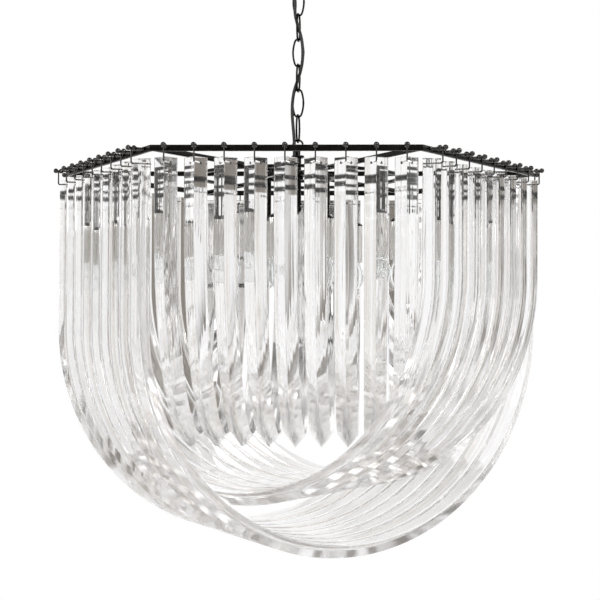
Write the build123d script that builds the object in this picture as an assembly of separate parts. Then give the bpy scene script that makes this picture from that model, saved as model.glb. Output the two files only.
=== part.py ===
from build123d import *
from math import atan2, cos, degrees, pi, radians, sqrt, tan
import os

# Hexagonal pendant chandelier: a flat-bar frame on a chain carries three nested
# bands of U-shaped clear acrylic rods. Millimetres, +Z up, +Y away from the viewer.
# The origin is the centre of the crossbar's top face, where it meets the ceiling.

# Driving dimensions of the frame
frame_z = -398.0
side = 400.0
apothem = side * sqrt(3) / 2
bar_tall = 9.4
bar_thick = 5.0
spoke_tall = 8.0
spoke_thick = 5.0

# Driving dimensions of the rods
rods_per_side = 9
rod_pitch = side / rods_per_side
rod_width = 35.0
rod_depth = 23.0
ridge_out = 20.5
corner_bevel = 1.8
rod_top = frame_z - 14.5
hole_below_top = 7.0
hole_clearance = 0.08
bands = {
    "outer": {"angle": 30, "leg": 251.0},
    "middle": {"angle": -30, "leg": 169.0},
    "inner": {"angle": 90, "leg": 87.0},
}

# Driving dimensions of the hangers
wire = 2.4
pin_above_bar_middle = 1.5
pin_radius = 1.5
pin_collar_radius = 2.8
pin_collar_long = 2.5
ball_radius = 4.2
ball_spread = 9.2
bead_radius = 2.3
bead_gap = 1.8
wire_before_ridge = 1.2

# Driving dimensions of the chain
links = 6
link_wire = 3.4
link_long = 50.8
link_wide = 22.4
link_end_radius = 6.5
link_gap = 0.3
chain_turn = -13.0
hub_loop_top = frame_z + 59.6
link_pitch = link_long - 2 * link_wire - link_gap

# Driving dimensions of the ceiling fitting
canopy_radius = 62.0
canopy_tall = 46.0
canopy_wall = 1.5
strap_long = 104.0
strap_wide = 22.0
strap_thick = 3.0
screw_spacing = 70.0
screw_hole = 4.5

# Driving dimensions of the hub and the lamps
hub_radius = 15.0
hub_loop_radius = 8.8
column_radius = 6.0
column_bore = 3.5
outer_lamps = 8
outer_lamp_radius = 175.0
outer_lamp_start = 10.5
inner_lamps = 4
inner_lamp_radius = 62.0
inner_lamp_start = 57.0
lamp_ring_wide = 9.0
lamp_ring_tall = 5.0
sleeve_radius = 12.0
sleeve_top = frame_z - 80.0
sleeve_bottom = frame_z - 146.0
bulb_bottom = frame_z - 198.0

# Driving dimensions of the supply cable
cable = 5.5

os.makedirs("parts", exist_ok=True)
nodes = {}


def keep(name, shape):
    """Files one node under its name."""
    nodes[name] = shape


def tube(radius_out, radius_in, low, high):
    """A round tube along Z between two heights."""
    middle = (low + high) / 2
    body = Cylinder(radius_out, high - low)
    if radius_in:
        body = body - Cylinder(radius_in, high - low + 2)
    return Pos(0, 0, middle) * body


def turned(profile):
    """Revolves a closed outline of (radius, height) points about Z."""
    outline = Polyline(*[(r, 0, z) for r, z in profile], close=True)
    return revolve(make_face(outline), axis=Axis.Z, revolution_arc=360)


def around(count, radius, start=0.0):
    """Places spread evenly on a circle, each with its angle."""
    for i in range(count):
        angle = start + 360 / count * i
        yield Rot(0, 0, angle) * Pos(radius, 0, 0)


def link_bottom(i):
    """Height of the lowest point of chain link i, counted from 0 at the top."""
    lowest = hub_loop_top - 2 * link_wire - link_gap
    return lowest + (links - 1 - i) * link_pitch


def lamp_places():
    """The twelve lamp positions, outer ring first."""
    for place in around(outer_lamps, outer_lamp_radius, outer_lamp_start):
        yield place
    for place in around(inner_lamps, inner_lamp_radius, inner_lamp_start):
        yield place


def swept_wire(points, radii, diameter):
    """A round wire along straight runs with tangent arcs between them."""
    path = FilletPolyline(*points, radius=radii)
    section = Plane(origin=path @ 0, z_dir=path % 0) * Circle(diameter / 2)
    return sweep(section, path=path), path.length


# Ceiling fitting: a strap screwed to the ceiling, a domed canopy that hides it,
# and a threaded loop with a collar that clamps the canopy up to the strap.
strap = Pos(0, 0, -strap_thick / 2) * Box(strap_long, strap_wide, strap_thick)
stem_radius = 5.0
for x in (-screw_spacing / 2, screw_spacing / 2):
    strap -= Pos(x, 0, -strap_thick / 2) * Cylinder(screw_hole / 2, strap_thick * 2)
strap -= Pos(0, 0, -strap_thick / 2) * Cylinder(stem_radius, strap_thick * 2)
keep("canopy_crossbar", strap)

dome_low = -canopy_tall
dome_flat = 22.0
gland_hole = 6.0
gland_x = -32.0
gland_z = -37.0
dome_outline = [
    (canopy_radius, 0),
    (canopy_radius, -14),
    (canopy_radius - 6, -24),
    (44, -35),
    (dome_flat, dome_low),
    (stem_radius, dome_low),
    (stem_radius, dome_low + canopy_wall),
    (dome_flat - 0.5, dome_low + canopy_wall),
    (43.3, -35 + canopy_wall),
    (canopy_radius - 7.2, -23.2),
    (canopy_radius - canopy_wall, -13.6),
    (canopy_radius - canopy_wall, 0),
]
canopy = turned(dome_outline)
gland_place = Pos(gland_x, 0, gland_z)
canopy -= gland_place * Cylinder(gland_hole, 30)
keep("canopy", canopy)

collar_tall = 9.0
collar_low = dome_low - collar_tall
collar = tube(11.0, stem_radius, collar_low, dome_low)
for place in around(16, 11.0):
    collar -= place * Pos(0, 0, (collar_low + dome_low) / 2) * Cylinder(0.8, collar_tall)
keep("canopy_collar", collar)

loop_wire = 4.0
loop_radius = 10.0
loop_centre = link_bottom(0) + link_long - link_wire - link_gap - loop_wire / 2 + loop_radius
loop_turn = Rot(0, 0, chain_turn) * Rot(0, 90, 0)
loop_ring = Pos(0, 0, loop_centre) * loop_turn * Torus(loop_radius, loop_wire / 2)
shoulder_radius = 8.0
shoulder_low = loop_centre + loop_radius - 1.0
loop_stem = tube(stem_radius, 0, collar_low, -0.2)
shoulder = tube(shoulder_radius, 0, shoulder_low, collar_low)
keep("canopy_loop", loop_stem + shoulder + loop_ring)

nut_flats = 16.0
nut_tall = 5.0
nut = extrude(RegularPolygon(nut_flats / 2, 6, major_radius=False), nut_tall)
lock_nut = Pos(0, 0, -strap_thick - nut_tall) * nut
keep("canopy_lock_nut", lock_nut - Cylinder(stem_radius, 40))

gland_body = tube(gland_hole, cable / 2, -9, 5) + tube(9.0, cable / 2, -13, -9)
keep("cable_gland", gland_place * gland_body)

block_y = 6.0 + strap_wide / 2
block_z = -strap_thick - 7.0
block = Pos(26, block_y, block_z) * Box(34, 16, 14)
for x in (15, 26, 37):
    block -= Pos(x, block_y, block_z) * Rot(90, 0, 0) * Cylinder(2.2, 20)
    block -= Pos(x, block_y, block_z - 7) * Cylinder(1.9, 8)
keep("terminal_block", block)

# Chain: oval welded links, each a quarter turn from the next. The whole chain hangs
# a little turned, so the links that stand edge on still show both their sides.
def oval_path(long, wide, end_radius):
    """A closed oval of four arcs in the XY plane, its length along X."""
    a = long / 2
    b = wide / 2
    end_centre = a - end_radius
    side_radius = (b**2 + end_centre**2 - end_radius**2) / (2 * (b - end_radius))
    side_centre = side_radius - b
    turn = degrees(atan2(side_centre, end_centre))
    half = 180 - 2 * turn
    return Wire([
        CenterArc((end_centre, 0), end_radius, -turn, 2 * turn).edge(),
        CenterArc((0, -side_centre), side_radius, turn, half).edge(),
        CenterArc((-end_centre, 0), end_radius, 180 - turn, 2 * turn).edge(),
        CenterArc((0, side_centre), side_radius, 180 + turn, half).edge(),
    ])


for i in range(links):
    path = oval_path(link_long - link_wire, link_wide - link_wire, link_end_radius)
    section = Plane(origin=path @ 0, z_dir=path % 0) * Circle(link_wire / 2)
    upright = Rot(90, 0, 0) * Rot(0, 0, 90) * sweep(section, path=path)
    quarter = 0 if i % 2 == 0 else 90
    centre = link_bottom(i) + link_long / 2
    place = Pos(0, 0, centre) * Rot(0, 0, chain_turn + quarter)
    keep("chain_link_%d" % (i + 1), place * upright)

# Hub: a loop screwed into a column, which carries the spokes' disc and a finial.
hub_loop_centre = hub_loop_top - link_wire / 2 - hub_loop_radius
disc_half = spoke_tall / 2 + 1.0
column_low = frame_z - 52.0
column_top = frame_z + 27.0
hub_ring = Pos(0, 0, hub_loop_centre) * Rot(90, chain_turn, 0) * Torus(hub_loop_radius, link_wire / 2)
flange_radius = 11.0
flange_top = column_top + 4.0
neck_radius = 4.4
neck_top = hub_loop_centre - hub_loop_radius + 1.0
neck_outline = [
    (0, column_top),
    (flange_radius, column_top),
    (flange_radius, flange_top),
    (neck_radius, flange_top),
    (neck_radius, neck_top),
    (0, neck_top),
]
keep("hub_loop", hub_ring + turned(neck_outline))
keep("hub_column", tube(column_radius, column_bore, column_low, column_top))
disc = tube(hub_radius, column_radius, frame_z - disc_half, frame_z + disc_half)
keep("hub_disc", disc)
hub_nut_tall = 6.0
hub_nut_low = frame_z - disc_half - hub_nut_tall
hub_nut = extrude(RegularPolygon(9.5, 6, major_radius=False), hub_nut_tall)
keep("hub_nut", Pos(0, 0, hub_nut_low) * hub_nut - Pos(0, 0, hub_nut_low) * Cylinder(column_radius, 30))
knob_radius = 7.0
knob_tip_radius = 2.6
knob = Pos(0, 0, column_low - knob_radius - 1.5) * Sphere(knob_radius)
knob += tube(4.5, 0, column_low - 4, column_low)
knob += tube(8.0, 0, column_low - 2, column_low)
knob += Pos(0, 0, column_low - 2 * knob_radius - 2) * Sphere(knob_tip_radius)
keep("hub_finial", knob)

# Frame: a hexagonal ring of flat bar on edge, six spokes to the hub disc, and two
# rings under the spokes that carry the lamps.
def hexagon(half_across, low, high):
    """A hexagonal prism with flats half_across from the axis, corners on the X axis."""
    outline = RegularPolygon(half_across, 6, major_radius=False, rotation=0)
    prism = extrude(outline, high - low)
    return Pos(0, 0, low) * prism


ring_low = frame_z - bar_tall / 2
ring_high = frame_z + bar_tall / 2
ring = hexagon(apothem + bar_thick / 2, ring_low, ring_high)
ring -= hexagon(apothem - bar_thick / 2, ring_low - 1, ring_high + 1)
keep("frame_ring", ring)

spoke_reach = (apothem - bar_thick / 2) / cos(radians(30))
inside_ring = hexagon(apothem - bar_thick / 2, ring_low, ring_high)
spokes = []
for i in range(6):
    bar = Pos(spoke_reach / 2, 0, frame_z) * Box(spoke_reach, spoke_thick, spoke_tall)
    bar = (Rot(0, 0, 60 * i) * bar) & inside_ring
    spokes.append(bar - Pos(0, 0, frame_z) * Cylinder(hub_radius, 30))
keep("frame_spokes", spokes)

ring_seat = frame_z - spoke_tall / 2
half_wide = lamp_ring_wide / 2
for name, radius in (("outer", outer_lamp_radius), ("inner", inner_lamp_radius)):
    band_ring = tube(radius + half_wide, radius - half_wide, ring_seat - lamp_ring_tall, ring_seat)
    keep("lamp_ring_" + name, band_ring)

# Lamps: each hangs from its ring on a thin tube, with a cap, a holder inside a
# polished sleeve, and a clear bulb that points down.
drop_radius = 4.0
cap_tall = 7.0
holder_radius = 10.8
holder_bore = 7.4
cap_skirt_low = sleeve_bottom + 1.0
bulb_cap_top = sleeve_bottom + 20.0
glass_radius = 15.0
drop = tube(drop_radius, 2.5, sleeve_top + cap_tall, ring_seat - lamp_ring_tall)
lamp_cap = turned([
    (0, sleeve_top),
    (sleeve_radius, sleeve_top),
    (sleeve_radius, sleeve_top + 2),
    (6.5, sleeve_top + cap_tall),
    (0, sleeve_top + cap_tall),
])
sleeve = tube(sleeve_radius, sleeve_radius - 0.8, sleeve_bottom, sleeve_top)
holder = tube(holder_radius, 0, sleeve_bottom, sleeve_top)
holder -= Pos(0, 0, sleeve_bottom) * Cylinder(holder_bore, 2 * (bulb_cap_top - sleeve_bottom))
bulb_cap = tube(holder_bore - 0.3, 0, cap_skirt_low, bulb_cap_top - 0.3)
glass_outline = [
    (0, cap_skirt_low),
    (7.0, cap_skirt_low),
    (7.4, sleeve_bottom - 3),
    (12.0, sleeve_bottom - 12),
    (glass_radius, sleeve_bottom - 24),
    (13.6, sleeve_bottom - 34),
    (8.0, sleeve_bottom - 45),
    (0, bulb_bottom),
]
glass = turned(glass_outline)
lamp_pieces = {
    "lamp_drop_tubes": drop,
    "lamp_caps": lamp_cap,
    "lamp_sleeves": sleeve,
    "lampholders": holder,
    "bulb_caps": bulb_cap,
    "bulb_glasses": glass,
}
for name, piece in lamp_pieces.items():
    keep(name, [place * piece for place in lamp_places()])

# Rods: each is one length of three-sided acrylic, ridge outward, bent to a U that
# joins two opposite sides of the frame.
ridge_radius = apothem + ridge_out
flat_radius = ridge_radius - rod_depth
half_width = rod_width / 2
rod_outline = [
    (ridge_radius, 0),
    (flat_radius + corner_bevel, half_width),
    (flat_radius, half_width - corner_bevel),
    (flat_radius, corner_bevel - half_width),
    (flat_radius + corner_bevel, -half_width),
]
hole_z = rod_top - hole_below_top


def rod(leg):
    """A U rod in the XZ plane: two straight legs and a half ring between them."""
    section = make_face(Polyline(*[(u, v, 0) for u, v in rod_outline], close=True))
    low = rod_top - leg
    bow = revolve(Pos(0, 0, low) * section, axis=Axis((0, 0, low), (0, 1, 0)), revolution_arc=180)
    right = Pos(0, 0, low) * extrude(section, leg, dir=(0, 0, 1))
    left = Rot(0, 0, 180) * right
    body = bow + right + left
    return body - Pos(0, 0, hole_z) * Rot(0, 90, 0) * Cylinder(wire / 2 + hole_clearance, 900)


for name, band in bands.items():
    blank = rod(band["leg"])
    for i in range(rods_per_side):
        offset = (i - (rods_per_side - 1) / 2) * rod_pitch
        place = Rot(0, 0, band["angle"]) * Pos(0, offset, 0)
        keep("rod_%s_%d" % (name, i + 1), place * blank)

# Hangers: a pin with two balls stands out from the bar's outer face. A wire drops
# from it between the balls and hooks inward through the rod's hole to a small bead.
wire_out = ridge_out + wire / 2 + wire_before_ridge
hook_radius = wire_out - ridge_out
bead_out = ridge_out - rod_depth - bead_radius - bead_gap
pin_z = frame_z + pin_above_bar_middle
pin_start = bar_thick / 2
pin_end = wire_out + ball_spread / 2
hanger_points = [(wire_out, 0, pin_z), (wire_out, 0, hole_z), (bead_out, 0, hole_z)]
hanger_wire, hanger_length = swept_wire(hanger_points, [hook_radius], wire)


def pin(radius, start, end):
    """A round pin at the balls' height, along X between two distances."""
    return Pos((start + end) / 2, 0, pin_z) * Rot(0, 90, 0) * Cylinder(radius, end - start)


hanger = hanger_wire + pin(pin_radius, pin_start, pin_end)
hanger += pin(pin_collar_radius, pin_start, pin_start + pin_collar_long)
for x in (wire_out - ball_spread / 2, wire_out + ball_spread / 2):
    hanger += Pos(x, 0, pin_z) * Sphere(ball_radius)
hanger += Pos(bead_out, 0, hole_z) * Sphere(bead_radius)
for name, band in bands.items():
    row = []
    for turn in (0, 180):
        for i in range(rods_per_side):
            offset = (i - (rods_per_side - 1) / 2) * rod_pitch
            row.append(Rot(0, 0, band["angle"] + turn) * Pos(apothem, offset, 0) * hanger)
    keep("hangers_" + name, row)

# Supply cable: woven through the chain from the gland to the hub.
gland_low = gland_z - 13.0
cable_route = [
    (gland_x, 0, gland_low),
    (gland_x, 0, gland_low - 10),
    (-26.5, -1.5, -71),
    (-15, -3.6, -79),
    (-7.6, -4.6, -89),
    (-5.2, -4.6, -104),
    (-6.5, -3.8, -122),
    (-1.1, -3.0, -143),
    (5.4, -5.8, -163),
    (8.0, -6.9, -183),
    (7.9, -6.7, -203),
    (4.6, -5.0, -221),
    (-0.9, -3.0, -238),
    (-6.6, -3.4, -254),
    (-9.7, -3.0, -274),
    (-10.2, -2.9, -294),
    (-8.6, -3.6, -314),
    (-6.4, -4.6, -336),
    (-5.8, -5.4, -352),
    (-5.8, -5.4, flange_top),
]


def cable_radii(points):
    """Arc radii as large as the runs beside each point allow."""
    found = []
    for a, b, c in zip(points, points[1:], points[2:]):
        run_in = Vector(*b) - Vector(*a)
        run_out = Vector(*c) - Vector(*b)
        shorter = min(run_in.length, run_out.length)
        half_turn = radians(run_in.get_angle(run_out)) / 2
        found.append(0.45 * shorter / tan(half_turn))
    return found


radii = cable_radii(cable_route)
print("cable radii", [round(r, 1) for r in radii])
cable_solid, cable_length = swept_wire(cable_route, radii, cable)
expected = pi * (cable / 2) ** 2 * cable_length
print("cable length", round(cable_length, 1), "volume ratio", round(cable_solid.volume / expected, 4))
keep("supply_cable", cable_solid)

for name, shape in nodes.items():
    if isinstance(shape, list):
        shape = Compound(children=list(shape))
    export_step(shape, "parts/%s.step" % name)
print(len(nodes), "nodes")
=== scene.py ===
from math import atan2, cos, pi, radians, sin, sqrt

import bmesh
import bpy
import numpy as np
from mathutils import Matrix


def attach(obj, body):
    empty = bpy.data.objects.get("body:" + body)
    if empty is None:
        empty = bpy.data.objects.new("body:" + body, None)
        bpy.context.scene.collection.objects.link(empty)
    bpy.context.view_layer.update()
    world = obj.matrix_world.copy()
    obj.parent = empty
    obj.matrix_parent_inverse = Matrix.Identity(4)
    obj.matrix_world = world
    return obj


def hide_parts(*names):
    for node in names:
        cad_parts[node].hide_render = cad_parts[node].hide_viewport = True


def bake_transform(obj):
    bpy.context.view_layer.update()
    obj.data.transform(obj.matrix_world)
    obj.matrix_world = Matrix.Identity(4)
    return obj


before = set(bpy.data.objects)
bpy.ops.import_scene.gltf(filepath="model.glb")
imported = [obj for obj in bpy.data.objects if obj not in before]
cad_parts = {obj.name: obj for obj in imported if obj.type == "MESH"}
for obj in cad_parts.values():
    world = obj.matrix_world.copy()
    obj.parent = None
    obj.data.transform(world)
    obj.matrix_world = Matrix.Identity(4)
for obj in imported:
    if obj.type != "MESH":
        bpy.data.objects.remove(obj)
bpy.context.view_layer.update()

# The camera stands in front of the lamp, a little to its right and below the frame,
# and looks up at it slightly through a long lens, as the photograph was taken.
frame_z = -0.398
axis_distance = 2.406
camera_below_frame = 0.2654
camera_swing = radians(2.933)
focal_px = 1401
photo_px = 600
sensor_mm = 36
axis_px = 297.1
horizon_px = 328
camera_roll = radians(0.29)
camera_data = bpy.data.cameras.new("camera")
camera_data.sensor_width = sensor_mm
camera_data.lens = focal_px / photo_px * sensor_mm
camera = bpy.data.objects.new("camera", camera_data)
bpy.context.scene.collection.objects.link(camera)
camera_yaw = camera_swing - atan2(photo_px / 2 - axis_px, focal_px)
camera_pitch = atan2(horizon_px - photo_px / 2, focal_px)
camera.matrix_world = (
    Matrix.Translation((
        axis_distance * sin(camera_swing),
        -axis_distance * cos(camera_swing),
        frame_z - camera_below_frame,
    ))
    @ Matrix.Rotation(camera_yaw, 4, "Z")
    @ Matrix.Rotation(radians(90) + camera_pitch, 4, "X")
    @ Matrix.Rotation(camera_roll, 4, "Z")
)
bpy.context.scene.camera = camera


# Chain: six oval links of round wire, bent and butt welded on one side, each a
# quarter turn from the next, in the same dark nickel finish as the frame.
def surface(points, ring=False):
    """Vertices and faces of a grid whose rows follow a path and whose columns go
    round a closed section. A ring's last row joins its first; else ends are capped."""
    rows, columns = points.shape[:2]
    index = np.arange(rows * columns).reshape(rows, columns)
    if ring:
        here, there = index, np.roll(index, -1, axis=0)
    else:
        here, there = index[:-1], index[1:]
    quads = np.stack(
        [here, np.roll(here, -1, axis=1), np.roll(there, -1, axis=1), there], axis=-1
    )
    faces = quads.reshape(-1, 4).tolist()
    if not ring:
        faces += [index[0][::-1].tolist(), index[-1].tolist()]
    return points.reshape(-1, 3), faces


def piece(name, parts, body, material, nodes=(), sharp=30):
    """One object from several surfaces: points are stacked, doubles at poles merged,
    faces turned outwards, and edges sharper than the given angle left hard."""
    corners = np.concatenate([points for points, faces in parts])
    starts = np.cumsum([0] + [len(points) for points, faces in parts])
    faces = [[v + start for v in f] for (p, fs), start in zip(parts, starts) for f in fs]
    mesh = bpy.data.meshes.new(name)
    mesh.from_pydata(corners.tolist(), [], faces)
    work = bmesh.new()
    work.from_mesh(mesh)
    bmesh.ops.remove_doubles(work, verts=work.verts, dist=1e-6)
    bmesh.ops.recalc_face_normals(work, faces=work.faces)
    work.to_mesh(mesh)
    work.free()
    mesh.shade_smooth()
    mesh.set_sharp_from_angle(angle=radians(sharp))
    made = bpy.data.objects.new(name, mesh)
    bpy.context.scene.collection.objects.link(made)
    made.data.materials.append(material)
    if body:
        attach(made, body)
    if nodes:
        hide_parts(*nodes)
    return made


def tube(path, radius, sides, across, ring=False):
    """A circle carried along a path: at each point the circle lies square to the
    path's direction, turned so that its first axis is square to the vector across."""
    if ring:
        along = np.roll(path, -1, axis=0) - np.roll(path, 1, axis=0)
    else:
        along = np.gradient(path, axis=0)
    along /= np.linalg.norm(along, axis=1, keepdims=True)
    side = np.cross(along, across)
    side /= np.linalg.norm(side, axis=1, keepdims=True)
    up = np.cross(side, along)
    turn = np.linspace(0, 2 * pi, sides, endpoint=False)[None, :, None]
    radius = np.reshape(radius, (-1, 1, 1))
    circle = side[:, None, :] * np.cos(turn) + up[:, None, :] * np.sin(turn)
    return surface(path[:, None, :] + radius * circle, ring)


def nodes_of(material):
    """Turns on a material's nodes; gives its tree and its Principled shader."""
    material.use_nodes = True
    tree = material.node_tree
    return tree, tree.nodes["Principled BSDF"]


def textured(name, colour, metallic, rough, scale, bump, colour_shift=0.25):
    """A material whose roughness and colour drift with noise on object coordinates,
    and whose surface has a fine grain of the given bump strength."""
    material = bpy.data.materials.new(name)
    tree, shader = nodes_of(material)
    place = tree.nodes.new("ShaderNodeTexCoord")
    noise = tree.nodes.new("ShaderNodeTexNoise")
    noise.inputs["Scale"].default_value = scale
    noise.inputs["Detail"].default_value = 6
    tree.links.new(place.outputs["Object"], noise.inputs["Vector"])
    rough_range = tree.nodes.new("ShaderNodeMapRange")
    rough_range.inputs["From Min"].default_value = 0.3
    rough_range.inputs["From Max"].default_value = 0.7
    rough_range.inputs["To Min"].default_value = rough[0]
    rough_range.inputs["To Max"].default_value = rough[1]
    tree.links.new(noise.outputs["Fac"], rough_range.inputs["Value"])
    tree.links.new(rough_range.outputs["Result"], shader.inputs["Roughness"])
    ramp = tree.nodes.new("ShaderNodeValToRGB")
    ramp.color_ramp.elements[0].position = 0.35
    ramp.color_ramp.elements[1].position = 0.7
    ramp.color_ramp.elements[0].color = [c * (1 - colour_shift) for c in colour] + [1]
    ramp.color_ramp.elements[1].color = [min(c * (1 + colour_shift), 1) for c in colour] + [1]
    tree.links.new(noise.outputs["Fac"], ramp.inputs["Fac"])
    tree.links.new(ramp.outputs["Color"], shader.inputs["Base Color"])
    grain = tree.nodes.new("ShaderNodeTexNoise")
    grain.inputs["Scale"].default_value = scale * 12
    tree.links.new(place.outputs["Object"], grain.inputs["Vector"])
    dents = tree.nodes.new("ShaderNodeBump")
    dents.inputs["Strength"].default_value = bump
    dents.inputs["Distance"].default_value = 0.0002
    tree.links.new(grain.outputs["Fac"], dents.inputs["Height"])
    tree.links.new(dents.outputs["Normal"], shader.inputs["Normal"])
    shader.inputs["Metallic"].default_value = metallic
    return material


dark_nickel = textured("dark_nickel", (0.016, 0.015, 0.014), 1.0, (0.16, 0.34), 60, 0.15)
link_count = 6
link_wire = 0.0034
link_long = 0.0508
link_wide = 0.0224
link_end_radius = 0.0065
link_gap = 0.0003
weld_bulge = 0.13
weld_half = 0.0016
chain_turn = radians(-13)
hub_loop_top = frame_z + 0.0596
link_pitch = link_long - 2 * link_wire - link_gap


def link_bottom(i):
    """Height of the lowest point of chain link i, counted from 0 at the top."""
    return hub_loop_top - 2 * link_wire - link_gap + (link_count - 1 - i) * link_pitch


def oval(long, wide, end_radius, steps=20):
    """A closed oval of four arcs. The side arcs meet the end arcs smoothly: their radius
    comes from the triangle between the oval's centre and the centres of both arcs."""
    a, b = long / 2, wide / 2
    end_centre = a - end_radius
    side_radius = (b**2 + end_centre**2 - end_radius**2) / (2 * (b - end_radius))
    side_centre = side_radius - b
    meet = atan2(side_centre, end_centre)
    ends = np.linspace(-meet, meet, steps, endpoint=False)
    sides = np.linspace(meet, pi - meet, steps, endpoint=False)
    up = np.concatenate([end_centre + end_radius * np.cos(ends), side_radius * np.cos(sides)])
    across = np.concatenate([end_radius * np.sin(ends), side_radius * np.sin(sides) - side_centre])
    return np.concatenate([across, -across]), np.concatenate([up, -up])


for i in range(link_count):
    across, up = oval(link_long - link_wire, link_wide - link_wire, link_end_radius)
    weld = 1 + weld_bulge * np.exp(-((up / weld_half) ** 2)) * (across > 0)
    up = up + link_bottom(i) + link_long / 2
    heading = chain_turn + (0 if i % 2 == 0 else pi / 2)
    path = np.stack([across * cos(heading), across * sin(heading), up], axis=1)
    name = "chain_link_%d" % (i + 1)
    parts = [tube(path, link_wire / 2 * weld, 14, (-sin(heading), cos(heading), 0), ring=True)]
    piece("link_wire_%d" % (i + 1), parts, "link_%d" % (i + 1), dark_nickel, [name])


# Supply cable: a black round cable that leaves the canopy's gland, winds through the
# links and ends in the hub's flange. It is made in stretches, one a joint.
cable_radius = 0.00275
gland_x = -0.032
hub_flange_top = frame_z + 0.031
cable_route = [
    (gland_x, 0, -0.050),
    (gland_x, 0, -0.060),
    (-0.0265, -0.0015, -0.071),
    (-0.015, -0.0036, -0.079),
    (-0.0076, -0.0046, -0.089),
    (-0.0052, -0.0046, -0.104),
    (-0.0065, -0.0038, -0.122),
    (-0.0011, -0.0030, -0.143),
    (0.0054, -0.0058, -0.163),
    (0.0080, -0.0069, -0.183),
    (0.0079, -0.0067, -0.203),
    (0.0046, -0.0050, -0.221),
    (-0.0009, -0.0030, -0.238),
    (-0.0066, -0.0034, -0.254),
    (-0.0097, -0.0030, -0.274),
    (-0.0102, -0.0029, -0.294),
    (-0.0086, -0.0036, -0.314),
    (-0.0064, -0.0046, -0.336),
    (-0.0058, -0.0054, -0.352),
    (-0.0058, -0.0054, hub_flange_top),
]
black_sheath = textured("black_sheath", (0.012, 0.012, 0.012), 0.0, (0.35, 0.5), 90, 0.2)


def smooth_route(points, resolution=10):
    """The points of a NURBS spline of order 3 through the route's control points."""
    curve = bpy.data.curves.new("route", "CURVE")
    curve.dimensions = "3D"
    curve.resolution_u = resolution
    spline = curve.splines.new("NURBS")
    spline.points.add(len(points) - 1)
    spline.points.foreach_set("co", np.c_[points, np.ones(len(points))].ravel())
    spline.order_u = 3
    spline.use_endpoint_u = True
    holder = bpy.data.objects.new("route", curve)
    mesh = bpy.data.meshes.new_from_object(holder)
    route = np.empty(len(mesh.vertices) * 3)
    mesh.vertices.foreach_get("co", route)
    bpy.data.objects.remove(holder)
    bpy.data.curves.remove(curve)
    bpy.data.meshes.remove(mesh)
    return route.reshape(-1, 3)


cable_line = smooth_route(cable_route)
loop_wire = 0.004
link_middles = [link_bottom(i) + link_long / 2 for i in range(link_count)]
joint_heights = [link_bottom(0) + link_long - link_wire - link_gap - loop_wire / 2]
joint_heights += [link_bottom(i) + link_wire / 2 for i in range(link_count)]
cuts = [cable_line[0, 2]] + link_middles + [cable_line[-1, 2]]


def stretch(line, high, low):
    """The part of a falling line between two heights, with its cut ends worked out."""
    inside = line[(line[:, 2] < high - 1e-5) & (line[:, 2] > low + 1e-5)]
    falling = -line[:, 2]
    ends = [[np.interp(-z, falling, line[:, k]) for k in range(3)] for z in (high, low)]
    return np.concatenate([[ends[0]], inside, [ends[1]]])


for i, joint_z in enumerate(joint_heights):
    run = stretch(cable_line, cuts[i], cuts[i + 1])
    parts = [tube(run, cable_radius, 16, (0, 1, 0))]
    made = piece("cable_stretch_%d" % (i + 1), parts, None, black_sheath)
    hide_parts("supply_cable")
    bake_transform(made)


# Ceiling fitting: a spun steel canopy held up by a knurled collar on a threaded loop.
# The zinc strap, the terminal block and the cable's gland are plain bought parts.
def turned(profile, sides=48, centre=(0, 0), closed=False):
    """A profile of (radius, height) points turned about a vertical line through the
    centre. A closed profile joins its last point to its first."""
    profile = np.asarray(profile, float)
    turn = np.linspace(0, 2 * pi, sides, endpoint=False)
    ring = np.stack([np.cos(turn), np.sin(turn)], axis=-1)
    points = np.empty((len(profile), sides, 3))
    points[..., :2] = profile[:, None, :1] * ring + np.asarray(centre)
    points[..., 2] = profile[:, 1:]
    return surface(points, closed)


def eased(corners, radius, steps=3, closed=True):
    """Rounds each corner of an outline: the corner is replaced by points of the curve
    that leaves one edge and meets the next, both at the radius from the corner."""
    corners = np.asarray(corners, float)
    before, after = np.roll(corners, 1, axis=0), np.roll(corners, -1, axis=0)
    to_before, to_after = before - corners, after - corners
    size_before = np.linalg.norm(to_before, axis=1, keepdims=True)
    size_after = np.linalg.norm(to_after, axis=1, keepdims=True)
    start = corners + to_before / size_before * np.minimum(radius, size_before * 0.45)
    end = corners + to_after / size_after * np.minimum(radius, size_after * 0.45)
    t = np.linspace(0, 1, steps)[None, :, None]
    curve = (1 - t) ** 2 * start[:, None] + 2 * t * (1 - t) * corners[:, None] + t**2 * end[:, None]
    if not closed:
        rows = [corners[:1]] + [c for c in curve[1:-1]] + [corners[-1:]]
        return np.concatenate(rows)
    return curve.reshape(-1, corners.shape[1])


zinc = textured("zinc_plate", (0.55, 0.56, 0.57), 1.0, (0.28, 0.42), 70, 0.12, 0.08)
ivory_plastic = textured("ivory_plastic", (0.78, 0.77, 0.72), 0.0, (0.38, 0.5), 50, 0.1, 0.04)
gland_rubber = textured("gland_rubber", (0.02, 0.02, 0.02), 0.0, (0.45, 0.6), 90, 0.2)
for node, material in (
    ("canopy_crossbar", zinc),
    ("canopy_lock_nut", zinc),
    ("terminal_block", ivory_plastic),
    ("cable_gland", gland_rubber),
):
    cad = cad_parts[node]
    cad.data.materials.clear()
    cad.data.materials.append(material)

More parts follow.
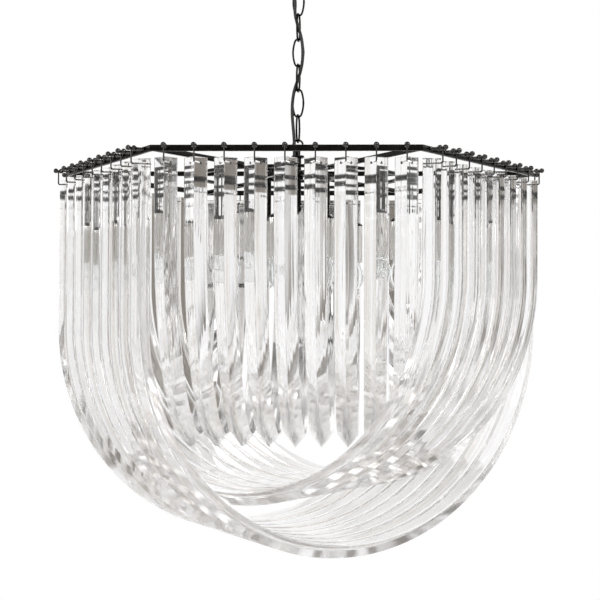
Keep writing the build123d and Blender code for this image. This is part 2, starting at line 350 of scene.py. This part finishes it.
canopy_radius = 0.062
canopy_tall = 0.046
canopy_wall = 0.0015
stem_radius = 0.005
dome = [
    (canopy_radius, 0),
    (canopy_radius, -0.014),
    (canopy_radius - 0.006, -0.024),
    (0.044, -0.035),
    (0.022, -canopy_tall),
    (stem_radius, -canopy_tall),
    (stem_radius, canopy_wall - canopy_tall),
    (0.0215, canopy_wall - canopy_tall),
    (0.0433, canopy_wall - 0.035),
    (canopy_radius - 0.0072, -0.0232),
    (canopy_radius - canopy_wall, -0.0136),
    (canopy_radius - canopy_wall, 0),
]
dome_part = turned(eased(dome, 0.004, 5), 96, closed=True)
piece("canopy_dome", [dome_part], "ceiling_fitting", dark_nickel, ["canopy"])

collar_low = -canopy_tall - 0.009
collar_radius = 0.011
collar_sides = 192
collar_grooves = 48
groove_depth = 0.03
knurl = np.linspace(0, 2 * pi, collar_sides, endpoint=False)
collar_profile = eased(
    [
        (stem_radius, collar_low), (collar_radius, collar_low),
        (collar_radius, -canopy_tall), (stem_radius, -canopy_tall),
    ],
    0.0012,
)
collar_points, collar_faces = turned(collar_profile, collar_sides, closed=True)
collar_points = collar_points.reshape(len(collar_profile), collar_sides, 3)
rim = (collar_profile[:, 0] > collar_radius - 0.0015)[:, None]
groove = 1 - groove_depth * rim * (0.5 - 0.5 * np.cos(collar_grooves * knurl))
collar_points[..., :2] *= groove[..., None]
collar_part = (collar_points.reshape(-1, 3), collar_faces)
piece(
    "canopy_clamp_collar", [collar_part], "ceiling_fitting", dark_nickel,
    ["canopy_collar"],
)


def eye(centre_z, radius, wire, across, sides=14, steps=56):
    """A ring of round wire in the upright plane that holds the vector across."""
    turn = np.linspace(0, 2 * pi, steps, endpoint=False)[:, None]
    path = radius * (np.cos(turn) * np.array(across) + np.sin(turn) * np.array((0, 0, 1.0)))
    path[:, 2] += centre_z
    normal = (-across[1], across[0], 0)
    return tube(path, wire / 2, sides, normal, ring=True)


loop_radius = 0.010
shoulder_radius = 0.008
eye_sink = 0.001
loop_centre = link_bottom(0) + link_long - link_wire - link_gap - loop_wire / 2 + loop_radius
shoulder_low = loop_centre + loop_radius - eye_sink
neck = eased(
    [
        (0, shoulder_low), (shoulder_radius, shoulder_low), (shoulder_radius, collar_low),
        (stem_radius, collar_low), (stem_radius, -0.0004), (0, -0.0002),
    ],
    0.0008, closed=False,
)
loop_across = (-sin(chain_turn), cos(chain_turn), 0)
loop_parts = [eye(loop_centre, loop_radius, loop_wire, loop_across), turned(neck)]
piece("canopy_eye", loop_parts, "ceiling_fitting", dark_nickel, ["canopy_loop"])


# Hub: an eye screwed into a short column, a disc that the spokes are welded to, a
# nut that draws it up, and a turned finial under it. All in the frame's finish.
hub_loop_radius = 0.0088
hub_loop_centre = hub_loop_top - link_wire / 2 - hub_loop_radius
neck_top = hub_loop_centre - hub_loop_radius + eye_sink
column_top = frame_z + 0.027
column_low = frame_z - 0.052
column_radius = 0.006
flange_radius = 0.011
neck_radius = 0.0044
hub_radius = 0.015
disc_half = 0.005
neck = eased(
    [
        (0, column_top), (flange_radius, column_top), (flange_radius, hub_flange_top),
        (neck_radius, hub_flange_top), (neck_radius, neck_top), (0, neck_top),
    ],
    0.0008, closed=False,
)
hub_across = (cos(chain_turn), sin(chain_turn), 0)
hub_parts = [eye(hub_loop_centre, hub_loop_radius, link_wire, hub_across), turned(neck)]
piece("hub_eye", hub_parts, "fixture", dark_nickel, ["hub_loop"])
column = eased(
    [(0, column_low), (column_radius, column_low), (column_radius, column_top), (0, column_top)],
    0.0006, closed=False,
)
piece("hub_tube", [turned(column, 32)], "fixture", dark_nickel, ["hub_column"])
disc = eased(
    [
        (column_radius, frame_z - disc_half), (hub_radius, frame_z - disc_half),
        (hub_radius, frame_z + disc_half), (column_radius, frame_z + disc_half),
    ],
    0.0010,
)
disc_part = turned(disc, 64, closed=True)
piece("hub_plate", [disc_part], "fixture", dark_nickel, ["hub_disc"])


def prism(corner_radius, low, high, bore, chamfer, sides=6):
    """A nut: a polygon whose top and bottom corners are cut by a turned chamfer. A
    flat's distance is its least one over the cosine of the turn from its middle."""
    turn = np.linspace(0, 2 * pi, sides * 8, endpoint=False) + radians(30)
    half = pi / sides
    flat = corner_radius * cos(half) / np.cos((turn - radians(30)) % (2 * half) - half)
    rows = [
        (low, bore), (low, corner_radius * cos(half) * 0.96), (low + chamfer, None),
        (high - chamfer, None), (high, corner_radius * cos(half) * 0.96), (high, bore),
    ]
    points = np.empty((len(rows), len(turn), 3))
    for row, (z, r) in enumerate(rows):
        reach = flat if r is None else np.full(len(turn), r)
        level_z = np.full(len(turn), z)
        points[row] = np.stack([reach * np.cos(turn), reach * np.sin(turn), level_z], 1)
    return surface(points, ring=True)


nut_top = frame_z - disc_half
nut_tall = 0.006
nut_half_flats = 0.0095
nut_part = prism(nut_half_flats / cos(pi / 6), nut_top - nut_tall, nut_top, column_radius, 0.0009)
piece("hub_hex_nut", [nut_part], "fixture", dark_nickel, ["hub_nut"])
bow = np.linspace(-0.42 * pi, 0.38 * pi, 22)
knob_radius = 0.007
knob_z = column_low - 0.0085
knob = np.concatenate([
    [(0, column_low - 0.0186), (0.0014, column_low - 0.0182), (0.0025, column_low - 0.0168)],
    [(0.0017, column_low - 0.0155)],
    np.stack([knob_radius * np.cos(bow), knob_z + knob_radius * np.sin(bow)], axis=1),
    [(0.0045, column_low - 0.0028), (0.0076, column_low - 0.0022), (0.0080, column_low - 0.0014)],
    [(0.0080, column_low - 0.0005), (0.0076, column_low), (0, column_low)],
])
piece("hub_knob", [turned(knob, 40)], "fixture", dark_nickel, ["hub_finial"])


# Frame: flat steel bar on edge, mitred and welded into a hexagon, six spokes of the
# same kind to the hub, and two rings under them for the lamps, all in dark nickel.
side = 0.400
apothem = side * sqrt(3) / 2
bar_tall = 0.0094
bar_thick = 0.005
spoke_tall = 0.008
edge_ease = 0.0006
bar_section = eased(
    [
        (-bar_thick / 2, -bar_tall / 2), (bar_thick / 2, -bar_tall / 2),
        (bar_thick / 2, bar_tall / 2), (-bar_thick / 2, bar_tall / 2),
    ],
    edge_ease,
)
corner = np.radians(60 * np.arange(6))
mitre = 1 / cos(radians(30))
ring_points = np.empty((6, len(bar_section), 3))
reach = (apothem + bar_section[:, 0]) * mitre
ring_points[..., 0] = np.cos(corner)[:, None] * reach
ring_points[..., 1] = np.sin(corner)[:, None] * reach
ring_points[..., 2] = frame_z + bar_section[:, 1]
ring_part = surface(ring_points, ring=True)
piece("frame_hexagon", [ring_part], "fixture", dark_nickel, ["frame_ring"])


def bar(start, end, section):
    """A straight bar between two level points: its section (out, up) stands square
    to its direction."""
    start, end = np.array(start), np.array(end)
    along = (end - start) / np.linalg.norm(end - start)
    out = np.array((along[1], -along[0], 0))
    row = section[:, :1] * out + section[:, 1:] * np.array((0, 0, 1))
    return surface(np.stack([start + row, end + row]))


spoke_section = bar_section * (1, spoke_tall / bar_tall)
spoke_start = hub_radius - 0.0005
spoke_end = (apothem - bar_thick / 2) * mitre - 0.0002
spokes = [
    bar(
        (spoke_start * cos(a), spoke_start * sin(a), frame_z),
        (spoke_end * cos(a), spoke_end * sin(a), frame_z),
        spoke_section,
    )
    for a in corner
]
piece("frame_spoke_bars", spokes, "fixture", dark_nickel, ["frame_spokes"])

ring_seat = frame_z - spoke_tall / 2
lamp_ring_wide = 0.009
lamp_ring_tall = 0.005
lamp_rings = {"outer": 0.175, "inner": 0.062}
for name, radius in lamp_rings.items():
    flat_bar = eased(
        [
            (radius - lamp_ring_wide / 2, ring_seat - lamp_ring_tall),
            (radius + lamp_ring_wide / 2, ring_seat - lamp_ring_tall),
            (radius + lamp_ring_wide / 2, ring_seat),
            (radius - lamp_ring_wide / 2, ring_seat),
        ],
        0.0005,
    )
    hoop = turned(flat_bar, 128, closed=True)
    piece("lamp_hoop_" + name, [hoop], "fixture", dark_nickel, ["lamp_ring_" + name])


# Lamps: each hangs on a thin tube with a spun cap, a polished sleeve round its white
# ceramic holder, and a small clear bulb with a nickelled cap and a coiled filament.
lamp_spots = []
for name, count, first in (("outer", 8, 10.5), ("inner", 4, 57.0)):
    for a in np.radians(first + 360 / count * np.arange(count)):
        lamp_spots.append((lamp_rings[name] * cos(a), lamp_rings[name] * sin(a)))
sleeve_radius = 0.012
sleeve_top = frame_z - 0.080
sleeve_low = frame_z - 0.146
mirror = textured("polished_nickel", (0.82, 0.81, 0.79), 1.0, (0.03, 0.09), 35, 0.03, 0.05)
nickel_cap = textured("bulb_cap_nickel", (0.62, 0.58, 0.47), 1.0, (0.18, 0.3), 80, 0.1, 0.1)
ceramic = textured("holder_glaze", (0.84, 0.83, 0.80), 0.0, (0.12, 0.2), 40, 0.05, 0.03)
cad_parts["lampholders"].data.materials.clear()
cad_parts["lampholders"].data.materials.append(ceramic)


def each_lamp(profile, sides=32, closed=False):
    """The same turned shape at every lamp position."""
    return [turned(profile, sides, spot, closed) for spot in lamp_spots]


drop_radius = 0.004
drop_bore = 0.0025
drop_low = sleeve_top + 0.0068
drop_high = ring_seat - lamp_ring_tall
drop = eased(
    [(drop_bore, drop_low), (drop_radius, drop_low), (drop_radius, drop_high), (drop_bore, drop_high)],
    0.0003,
)
piece("lamp_tubes", each_lamp(drop, 20, True), "fixture", dark_nickel, ["lamp_drop_tubes"])
cap = eased(
    [
        (0, sleeve_top), (sleeve_radius, sleeve_top), (sleeve_radius, sleeve_top + 0.002),
        (0.0065, sleeve_top + 0.007), (0, sleeve_top + 0.007),
    ],
    0.0010, closed=False,
)
piece("lamp_spun_caps", each_lamp(cap), "fixture", dark_nickel, ["lamp_caps"])
wall = 0.0008
sleeve = np.array([
    (sleeve_radius, sleeve_top), (sleeve_radius, sleeve_low + 0.0016),
    (sleeve_radius - 0.0002, sleeve_low + 0.0004), (sleeve_radius - 0.0005, sleeve_low),
    (sleeve_radius - wall, sleeve_low + 0.0003), (sleeve_radius - wall, sleeve_low + 0.0014),
    (sleeve_radius - wall, sleeve_top),
])
piece(
    "lamp_mirror_sleeves", each_lamp(sleeve, 48, True), "fixture", mirror,
    ["lamp_sleeves"],
)

cap_low = sleeve_low + 0.001
thread_radius = 0.0068
thread_depth = 0.0003
thread_low = cap_low + 0.001
thread_long = 0.0150
thread = np.linspace(0, 1, 41)
screw = np.stack([
    thread_radius + thread_depth * np.cos(thread * 10 * pi),
    thread_low + thread * thread_long,
], axis=1)
bulb_cap = np.concatenate([
    [(0, cap_low), (0.0070, cap_low)], screw,
    [(0.0046, cap_low + 0.0172), (0.0020, cap_low + 0.0186), (0, cap_low + 0.0187)],
])
piece("bulb_screw_caps", each_lamp(bulb_cap), "fixture", nickel_cap, ["bulb_caps"])

bulb_outline = np.array([
    (0.0069, 0), (0.0072, 0.0040), (0.0086, 0.0085), (0.0112, 0.0128), (0.0138, 0.0185),
    (0.0149, 0.0248), (0.0146, 0.0310), (0.0132, 0.0365), (0.0108, 0.0418), (0.0080, 0.0462),
    (0.0050, 0.0500), (0.0022, 0.0522), (0, 0.0529),
])
bulb_turn = np.linspace(0, len(bulb_outline) - 1, 49)


def catmull(points, at):
    """A smooth curve through the points: at each place it is the cubic of the four
    nearest points."""
    padded = np.concatenate([2 * points[:1] - points[1:2], points, 2 * points[-1:] - points[-2:-1]])
    cell = np.minimum(at.astype(int), len(points) - 2)
    t = (at - cell)[:, None]
    a, b, c, d = (padded[cell + k] for k in range(4))
    return 0.5 * (2 * b + (c - a) * t + (2 * a - 5 * b + 4 * c - d) * t**2 + (3 * b - a - 3 * c + d) * t**3)


outer = catmull(bulb_outline, bulb_turn)
outer[:, 0] = np.maximum(outer[:, 0], 0)
outer[-1, 0] = 0
glass_wall = 0.0006
inner = outer[::-1].copy()
inner[:, 0] = np.maximum(inner[:, 0] - glass_wall, 0)
inner[0] = (0, outer[-1, 1] - glass_wall)
inner[:, 1] = np.minimum(inner[:, 1], outer[-1, 1] - glass_wall)
shell = np.concatenate([outer, inner])
shell[:, 1] = cap_low - shell[:, 1]
bulb_glass = bpy.data.materials.new("bulb_glass")
tree, shader = nodes_of(bulb_glass)
shader.inputs["Transmission Weight"].default_value = 1.0
shader.inputs["IOR"].default_value = 1.5
shader.inputs["Roughness"].default_value = 0.02
shader.inputs["Base Color"].default_value = (0.97, 0.98, 0.98, 1)
envelopes = each_lamp(shell, 32, True)
piece("bulb_envelopes", envelopes, "fixture", bulb_glass, ["bulb_glasses"])

filament_turn = np.linspace(0, 1, 97)
filament_half = 0.0042
filament_z = cap_low - 0.0270
coil_radius = 0.0006
coil_sag = 0.0016
coil_wire = 0.00014
lead_wire = 0.00022
coil_turn = filament_turn * 24 * pi
filament = np.stack([
    filament_half * (filament_turn * 2 - 1),
    coil_radius * np.cos(coil_turn),
    filament_z + coil_radius * np.sin(coil_turn) - coil_sag * np.sin(filament_turn * pi),
], axis=1)
leads = [
    np.array([
        (s * 0.0012, 0, cap_low + 0.002),
        (s * 0.0014, 0, cap_low - 0.0120),
        (s * filament_half, 0, filament_z),
    ])
    for s in (-1, 1)
]
inside = []
for spot in lamp_spots:
    shift = np.array([*spot, 0])
    inside.append(tube(filament + shift, coil_wire, 5, (0, 0, 1)))
    inside += [tube(lead + shift, lead_wire, 6, (0, 1, 0)) for lead in leads]
tungsten = textured("filament_wire", (0.30, 0.29, 0.28), 1.0, (0.3, 0.45), 200, 0.1)
piece("bulb_filaments", inside, "fixture", tungsten)


# Clear acrylic: faint lines from the die, bumped into the surface, follow the mesh attribute lengthwise,
# which holds a point's distance from the band's axis and its place across the rod. The same lines
# carry painted shade: darker beige-grey stripes in the colour that stand in for the dark surroundings
# bent through the rods. It is clearest 12 to 26 cm below the frame, and hazier at the rods' tops and in the
# bows.
acrylic = bpy.data.materials.new("clear_acrylic")
tree, shader = nodes_of(acrylic)
shader.inputs["Transmission Weight"].default_value = 0.985
shader.inputs["IOR"].default_value = 1.49
lengthwise = tree.nodes.new("ShaderNodeAttribute")
lengthwise.attribute_name = "lengthwise"
line_noise_bump_and_painted_shade = tree.nodes.new("ShaderNodeTexNoise")
line_noise_bump_and_painted_shade.inputs["Scale"].default_value = 120
line_noise_bump_and_painted_shade.inputs["Detail"].default_value = 1
tree.links.new(lengthwise.outputs["Vector"], line_noise_bump_and_painted_shade.inputs["Vector"])
height = tree.nodes.new("ShaderNodeSeparateXYZ")
place = tree.nodes.new("ShaderNodeTexCoord")
tree.links.new(place.outputs["Object"], height.inputs["Vector"])
haze_deep = 0.50
haze_range = tree.nodes.new("ShaderNodeMapRange")
haze_range.inputs["From Min"].default_value = frame_z
haze_range.inputs["From Max"].default_value = frame_z - haze_deep
tree.links.new(height.outputs["Z"], haze_range.inputs["Value"])
haze = tree.nodes.new("ShaderNodeValToRGB")
haze.color_ramp.elements[0].position = 0.12
haze.color_ramp.elements[0].color = (0.04, 0.04, 0.04, 1)
haze.color_ramp.elements[1].position = 0.85
haze.color_ramp.elements[1].color = (0.07, 0.07, 0.07, 1)
for position, value in ((0.24, 0.008), (0.52, 0.008)):
    step = haze.color_ramp.elements.new(position)
    step.color = (value, value, value, 1)
tree.links.new(haze_range.outputs["Result"], haze.inputs["Fac"])
tree.links.new(haze.outputs["Color"], shader.inputs["Roughness"])
die_lines = tree.nodes.new("ShaderNodeBump")
die_lines.inputs["Strength"].default_value = 1.0
die_lines.inputs["Distance"].default_value = 0.0001
tree.links.new(line_noise_bump_and_painted_shade.outputs["Fac"], die_lines.inputs["Height"])
tree.links.new(die_lines.outputs["Normal"], shader.inputs["Normal"])
# Painted shade: where the lines' noise is low the acrylic's colour turns beige-grey, in stripes that stand
# in for dark surroundings seen through the rods.
stripe_painted_shade = tree.nodes.new("ShaderNodeValToRGB")
stripe_painted_shade.color_ramp.elements[0].position = 0.33
stripe_painted_shade.color_ramp.elements[0].color = (0.80, 0.76, 0.71, 1)
stripe_painted_shade.color_ramp.elements[1].position = 0.40
stripe_painted_shade.color_ramp.elements[1].color = (0.992, 0.988, 0.992, 1)
clear = stripe_painted_shade.color_ramp.elements.new(0.60)
clear.color = (1, 0.999, 1, 1)
tree.links.new(line_noise_bump_and_painted_shade.outputs["Fac"], stripe_painted_shade.inputs["Fac"])
tree.links.new(stripe_painted_shade.outputs["Color"], shader.inputs["Base Color"])


# Rods: three-sided clear acrylic, ridge outward, each heated and bent to a U that
# joins two opposite sides of the frame, then drilled near both ends for its wire.
rods_per_side = 9
rod_pitch = side / rods_per_side
rod_offsets = (np.arange(rods_per_side) - (rods_per_side - 1) / 2) * rod_pitch
rod_sharp = 8
rod_width = 0.035
ridge_out = 0.0205
rod_depth = 0.023
corner_bevel = 0.0018
rod_top = frame_z - 0.0145
hole_below_top = 0.007
hole_z = rod_top - hole_below_top
bands = {"outer": (30, 0.251), "middle": (-30, 0.169), "inner": (90, 0.087)}
ridge_radius = apothem + ridge_out
flat_radius = ridge_radius - rod_depth
rod_section = eased(
    [
        (ridge_radius, 0),
        (flat_radius + corner_bevel, rod_width / 2),
        (flat_radius, rod_width / 2 - corner_bevel),
        (flat_radius, corner_bevel - rod_width / 2),
        (flat_radius + corner_bevel, -rod_width / 2),
    ],
    0.0005, 4,
)


def rod_blank(leg, bow_steps=200):
    """The rod's section carried down a straight leg, round a half circle about the
    level axis of the band, and up the other leg; x is the section's radius times the
    cosine of the bow's angle, and z drops by its sine."""
    low = rod_top - leg
    angle = np.linspace(0, pi, bow_steps + 1)
    angle = np.concatenate([[0], angle, [pi]])
    drop_z = np.full(len(angle), low)
    drop_z[0] = drop_z[-1] = rod_top
    points = np.empty((len(angle), len(rod_section), 3))
    points[..., 0] = rod_section[:, 0] * np.cos(angle)[:, None]
    points[..., 1] = rod_section[:, 1]
    points[..., 2] = drop_z[:, None] - rod_section[:, 0] * np.sin(angle)[:, None]
    return surface(points)


def placed(points, angle, offset):
    """Points moved sideways by the offset and turned about the upright axis."""
    c, s = cos(radians(angle)), sin(radians(angle))
    x, y = points[:, 0], points[:, 1] + offset
    return np.stack([c * x - s * y, s * x + c * y, points[:, 2]], axis=1)


wire = 0.0024
hole_clearance = 0.00008
drill_radius = wire / 2 + hole_clearance
drill_half_long = 0.45
line_drift = 0.004
line_shift = 0.9
drill_turn = np.linspace(0, 2 * pi, 12, endpoint=False)
drill_ring = np.stack([0 * drill_turn, np.cos(drill_turn), np.sin(drill_turn)], axis=1) * drill_radius
drill_ring[:, 2] += hole_z
drill_points = np.stack([drill_ring - (drill_half_long, 0, 0), drill_ring + (drill_half_long, 0, 0)])
drill = piece("drill", [surface(drill_points)], None, acrylic)
for name, (angle, leg) in bands.items():
    blank = piece("blank_" + name, [rod_blank(leg)], None, acrylic, sharp=rod_sharp)
    cut = blank.modifiers.new("drill", "BOOLEAN")
    cut.operation = "DIFFERENCE"
    cut.solver = "EXACT"
    cut.object = drill
    worked_out = bpy.context.evaluated_depsgraph_get()
    drilled = bpy.data.meshes.new_from_object(blank.evaluated_get(worked_out))
    flat_points = np.empty(len(drilled.vertices) * 3)
    drilled.vertices.foreach_get("co", flat_points)
    blank_points = flat_points.reshape(-1, 3)
    below = np.minimum(blank_points[:, 2] - (rod_top - leg), 0)
    from_axis = np.hypot(blank_points[:, 0], below)
    down = np.arctan2(below, np.abs(blank_points[:, 0])) * ridge_radius
    for i, offset in enumerate(rod_offsets):
        mesh = drilled.copy()
        mesh.vertices.foreach_set("co", placed(blank_points, angle, offset).ravel())
        along = line_drift * down + line_shift * i
        # The attribute places the die lines' bumps and the acrylic's painted shade stripes alike.
        streak = np.stack([from_axis, blank_points[:, 1], along], axis=1)
        line_place_bump_and_painted_shade = mesh.attributes.new("lengthwise", "FLOAT_VECTOR", "POINT")
        line_place_bump_and_painted_shade.data.foreach_set("vector", streak.ravel())
        mesh.shade_smooth()
        mesh.set_sharp_from_angle(angle=radians(rod_sharp))
        rod = bpy.data.objects.new("acrylic_%s_%d" % (name, i + 1), mesh)
        bpy.context.scene.collection.objects.link(rod)
        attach(rod, "rod_%s_%d" % (name, i + 1))
        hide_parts("rod_%s_%d" % (name, i + 1))
    bpy.data.meshes.remove(drilled)
    bpy.data.objects.remove(blank)
bpy.data.objects.remove(drill)


# Hangers: a pin with two balls stands out from the bar, and a wire drops from it and
# hooks inward through the rod's hole to a bead. Turned and bent steel, dark polished.
def bent(corners, radii, steps=7):
    """A path of straight runs with an arc of the given radius at each inner corner."""
    corners = np.asarray(corners, float)
    path = [corners[:1]]
    for before, here, after, radius in zip(corners, corners[1:], corners[2:], radii):
        run_in = (here - before) / np.linalg.norm(here - before)
        run_out = (after - here) / np.linalg.norm(after - here)
        half = np.arccos(np.clip(run_in @ run_out, -1, 1)) / 2
        away = (run_out - run_in) / np.linalg.norm(run_out - run_in)
        centre = here + away * radius / np.cos(half)
        swing = np.linspace(-half, half, steps)[:, None]
        forward = (run_in + run_out) / np.linalg.norm(run_in + run_out)
        path.append(centre - radius * np.cos(swing) * away + radius * np.sin(swing) * forward)
    path.append(corners[-1:])
    return np.concatenate(path)


ball_radius = 0.0042
ball_spread = 0.0092
bead_radius = 0.0023
bead_gap = 0.0018
wire_before_ridge = 0.0012
pin_above_bar_middle = 0.0015
pin_radius = 0.0015
pin_collar_radius = 0.0028
pin_collar_long = 0.0025
collar_slope = 0.0003
back_ease = 0.0002
front_ease = 0.0004
wire_out = ridge_out + wire / 2 + wire_before_ridge
bead_out = ridge_out - rod_depth - bead_radius - bead_gap
pin_z = frame_z + pin_above_bar_middle
pin_end = wire_out + ball_spread / 2
hanger_corners = [(wire_out, 0, pin_z), (wire_out, 0, hole_z), (bead_out, 0, hole_z)]
hanger_path = bent(hanger_corners, [wire_out - ridge_out], 9)
hanger_steel = textured("hanger_steel", (0.075, 0.073, 0.071), 1.0, (0.08, 0.16), 120, 0.05)
swell = np.linspace(-0.5 * pi, 0.5 * pi, 17)


def level(profile, height, sides=16):
    """A profile of (x, radius) points turned about the level line at a height."""
    profile = np.asarray(profile, float)
    turn = np.linspace(0, 2 * pi, sides, endpoint=False)
    points = np.stack([
        np.broadcast_to(profile[:, :1], (len(profile), sides)),
        profile[:, 1:] * np.cos(turn), height + profile[:, 1:] * np.sin(turn),
    ], axis=-1)
    return surface(points)


def ball(x, radius):
    """A ball's profile: x follows the sine of the swell and its radius the cosine."""
    return np.stack([x + radius * np.sin(swell), radius * np.cos(swell)], axis=1)


bar_face = bar_thick / 2
collar_face = bar_face + pin_collar_long
pin = [(bar_face, 0), (bar_face, pin_radius), (pin_end, pin_radius), (pin_end, 0)]
pin_collar = [
    (bar_face, 0),
    (bar_face, pin_collar_radius - back_ease),
    (bar_face + collar_slope, pin_collar_radius),
    (collar_face - front_ease, pin_collar_radius),
    (collar_face, pin_collar_radius - front_ease),
    (collar_face, 0),
]
hanger = [
    tube(hanger_path, wire / 2, 12, (0, 1, 0)),
    level(pin, pin_z),
    level(pin_collar, pin_z),
    level(ball(wire_out - ball_spread / 2, ball_radius), pin_z, 20),
    level(ball(wire_out + ball_spread / 2, ball_radius), pin_z, 20),
    level(ball(bead_out, bead_radius), hole_z, 14),
]
for name, (angle, leg) in bands.items():
    row = []
    for turn in (0, 180):
        for offset in rod_offsets:
            row += [(placed(p + (apothem, 0, 0), angle + turn, offset), f) for p, f in hanger]
    nodes = ["hangers_" + name]
    piece("hanger_wires_" + name, row, "fixture", hanger_steel, nodes, 40)


# Studio floor: a pale painted disc 2.3 m below the ceiling, which throws light up into
# the rods.
floor_z = -2.3
floor_radius = 4.0
floor_sides = 64
floor_mesh = bpy.data.meshes.new("floor")
floor_turn = np.linspace(0, 2 * pi, floor_sides, endpoint=False)
floor_rim = np.stack([np.cos(floor_turn), np.sin(floor_turn), 0 * floor_turn], axis=1) * floor_radius
floor_mesh.from_pydata((floor_rim + (0, 0, floor_z)).tolist(), [], [list(range(floor_sides))])
floor = bpy.data.objects.new("floor", floor_mesh)
bpy.context.scene.collection.objects.link(floor)
floor_paint = bpy.data.materials.new("floor_paint")
tree, shader = nodes_of(floor_paint)
shader.inputs["Base Color"].default_value = (0.93, 0.93, 0.93, 1)
shader.inputs["Roughness"].default_value = 0.9
floor_mesh.materials.append(floor_paint)


# Surround: bands of white and warm grey round a level axis that is turned to one side.
# The rods bend them into stripes. The camera itself sees plain white behind the lamp.
surround_turn = radians(28)
world = bpy.data.worlds.new("studio")
bpy.context.scene.world = world
world.use_nodes = True
tree = world.node_tree
tree.nodes.clear()
output = tree.nodes.new("ShaderNodeOutputWorld")
soft = tree.nodes.new("ShaderNodeBackground")
seen = tree.nodes.new("ShaderNodeBackground")
mixed = tree.nodes.new("ShaderNodeMixShader")
paths = tree.nodes.new("ShaderNodeLightPath")
direction = tree.nodes.new("ShaderNodeTexCoord")
swung = tree.nodes.new("ShaderNodeMapping")
swung.inputs["Rotation"].default_value = (0, 0, surround_turn)
split = tree.nodes.new("ShaderNodeSeparateXYZ")
tree.links.new(direction.outputs["Generated"], swung.inputs["Vector"])
tree.links.new(swung.outputs["Vector"], split.inputs["Vector"])
surround = tree.nodes.new("ShaderNodeValToRGB")
bright = surround.color_ramp
bright.elements[0].position = 0.0
bright.elements[0].color = (0.46, 0.45, 0.43, 1)
bright.elements[1].position = 1.0
bright.elements[1].color = (1.0, 1.0, 1.0, 1)
for position, value, warmth in (
    (0.28, 0.90, 1.00), (0.33, 0.13, 0.74), (0.42, 0.11, 0.74), (0.45, 1.00, 1.00), (0.50, 1.00, 1.00),
    (0.53, 0.14, 0.74), (0.59, 0.14, 0.74), (0.61, 1.00, 1.00), (0.67, 1.00, 1.00), (0.69, 0.22, 0.78),
    (0.74, 0.22, 0.78), (0.76, 1.00, 1.00), (0.83, 1.00, 1.00), (0.85, 0.52, 0.86),
    (0.88, 1.00, 1.00), (0.95, 1.00, 1.00),
):
    step = bright.elements.new(position)
    step.color = (value, value * (0.5 + 0.5 * warmth), value * warmth, 1)
half_up = tree.nodes.new("ShaderNodeMapRange")
half_up.inputs["From Min"].default_value = -1
half_up.inputs["From Max"].default_value = 1
tree.links.new(split.outputs["Y"], half_up.inputs["Value"])
tree.links.new(half_up.outputs["Result"], surround.inputs["Fac"])
tree.links.new(surround.outputs["Color"], soft.inputs["Color"])
soft.inputs["Strength"].default_value = 1.0
seen.inputs["Color"].default_value = (1, 1, 1, 1)
tree.links.new(paths.outputs["Is Camera Ray"], mixed.inputs["Fac"])
tree.links.new(soft.outputs["Background"], mixed.inputs[1])
tree.links.new(seen.outputs["Background"], mixed.inputs[2])
tree.links.new(mixed.outputs["Shader"], output.inputs["Surface"])


# Lamps of the studio: a small key from the right, a broad fill from the left, a rim
# from behind and a weak wash on the floor. Each turns its face towards its own aim.
lamp_middle = (0, 0, -0.6)
floor_middle = (0, 0, floor_z)
for name, where, aim, size, power in (
    ("key", (2.3, -3.0, 1.3), lamp_middle, 0.45, 45),
    ("fill", (-3.0, -2.2, 0.6), lamp_middle, 1.8, 40),
    ("rim", (0.6, 3.0, 1.8), lamp_middle, 2.0, 40),
    ("wash", (0, 0, -1.35), floor_middle, 1.6, 3),
):
    light_data = bpy.data.lights.new(name, "AREA")
    light_data.shape = "SQUARE"
    light_data.size = size
    light_data.energy = power
    light = bpy.data.objects.new(name, light_data)
    bpy.context.scene.collection.objects.link(light)
    toward = np.array(aim) - np.array(where)
    level_reach = sqrt(toward[0] ** 2 + toward[1] ** 2)
    light.matrix_world = (
        Matrix.Translation(where)
        @ Matrix.Rotation(atan2(-toward[0], toward[1]), 4, "Z")
        @ Matrix.Rotation(atan2(level_reach, -toward[2]), 4, "X")
    )

cycles = bpy.context.scene.cycles
cycles.max_bounces = 32
cycles.transmission_bounces = 32
cycles.glossy_bounces = 8
bpy.context.scene.view_settings.view_transform = "Standard"
